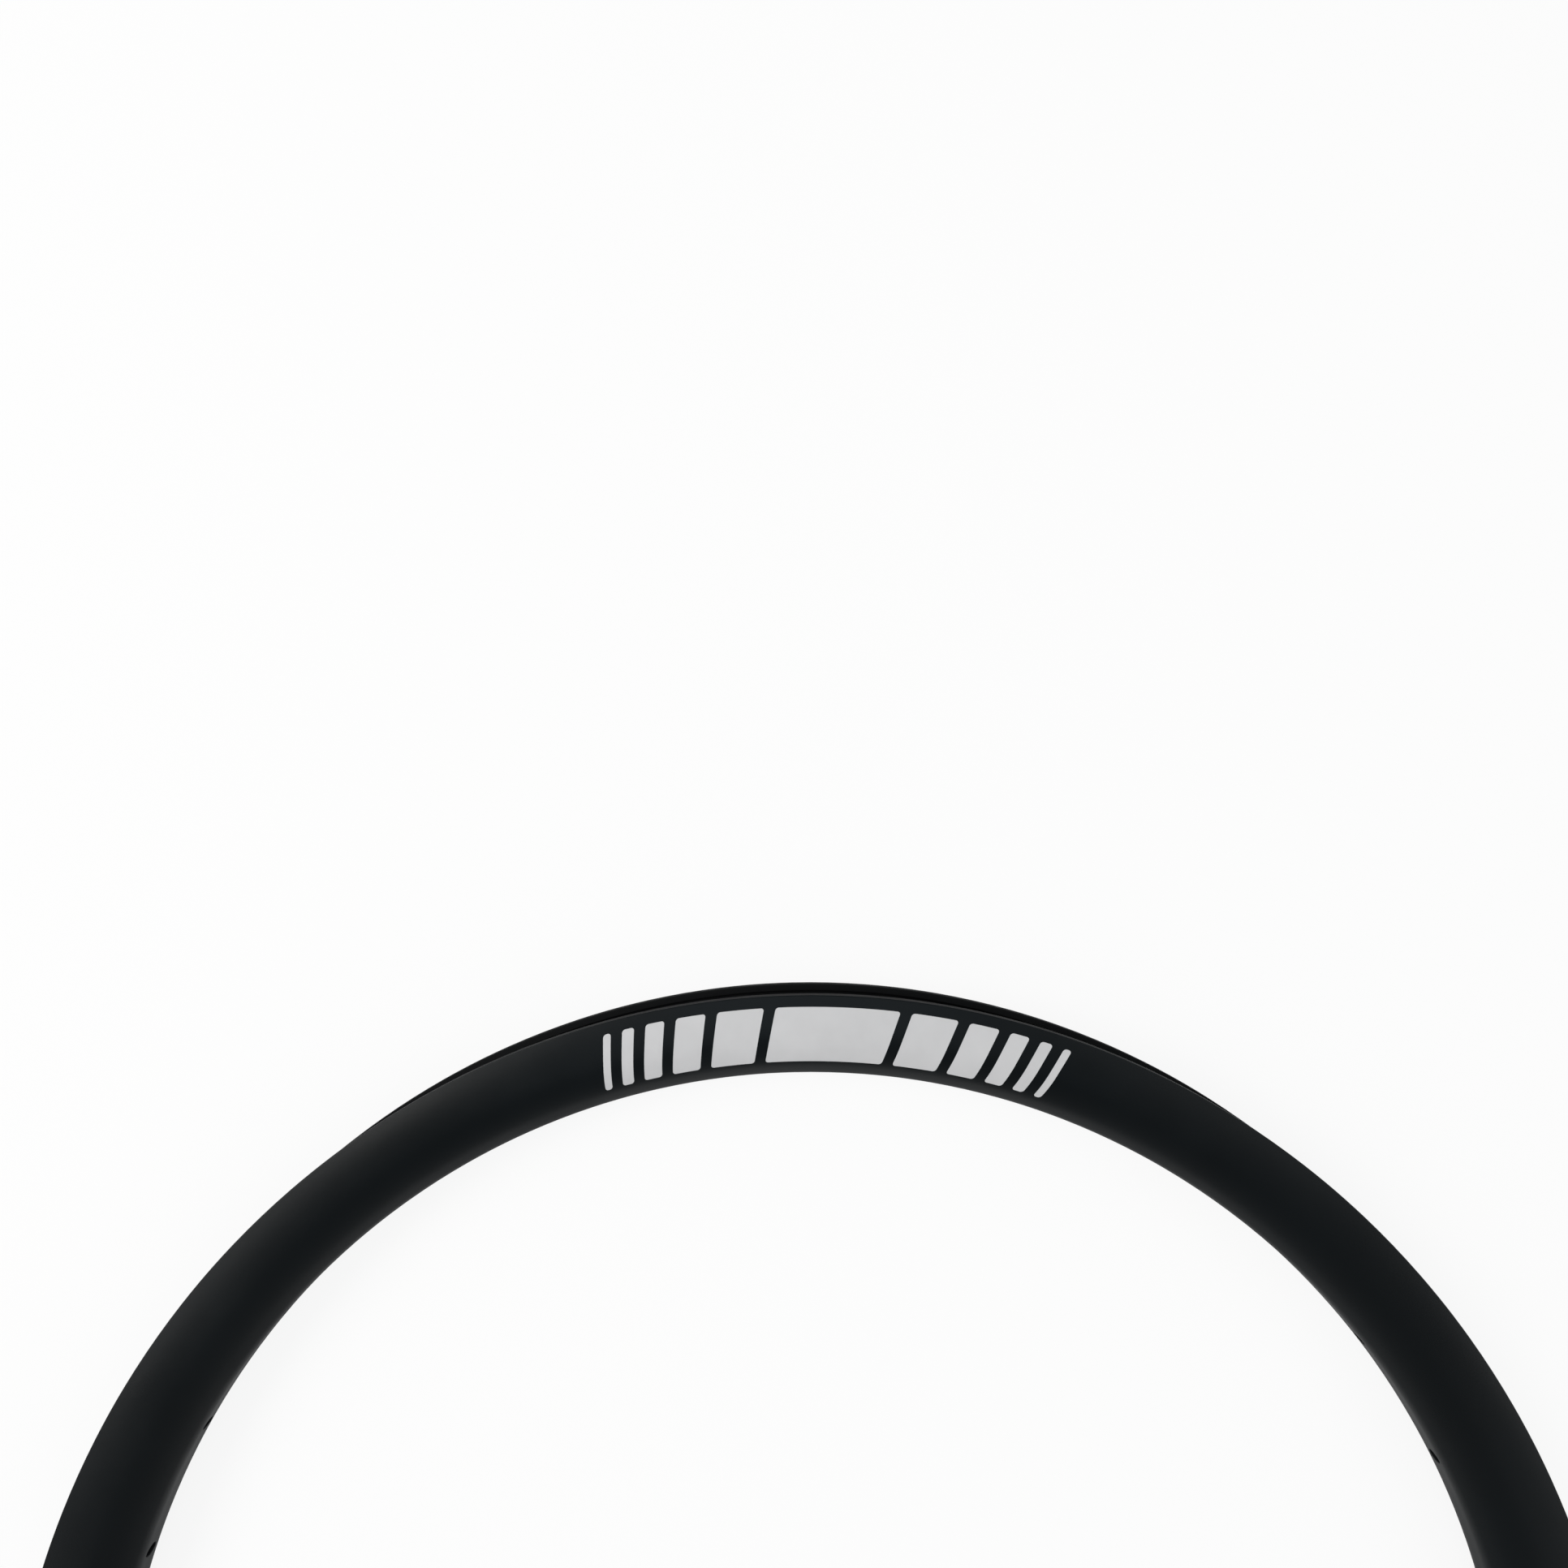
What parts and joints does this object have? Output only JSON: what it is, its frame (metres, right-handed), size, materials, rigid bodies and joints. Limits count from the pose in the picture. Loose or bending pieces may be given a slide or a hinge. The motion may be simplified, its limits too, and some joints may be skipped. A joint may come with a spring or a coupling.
{
  "type": "bicycle rim",
  "caption": "Deep hollow bicycle rim with hooked flanges, a well for the tyre, round spoke holes in its inner side and a valve hole; satin black with a pale print on one side.",
  "frame": {"origin": "centre of the rim, on the axle line and midway between its two sides", "axes": "+Z along the axle line, out of the printed side, which lies upward; +X and +Y across the rim, with the valve hole at -Y and the print at +Y"},
  "size_m": [0.6339, 0.634, 0.03],
  "materials": {
    "satin_black": "satin",
    "pale_print": "satin"
  },
  "bodies": {
    "root": {"rim": "satin_black"}
  },
  "joints": []
}
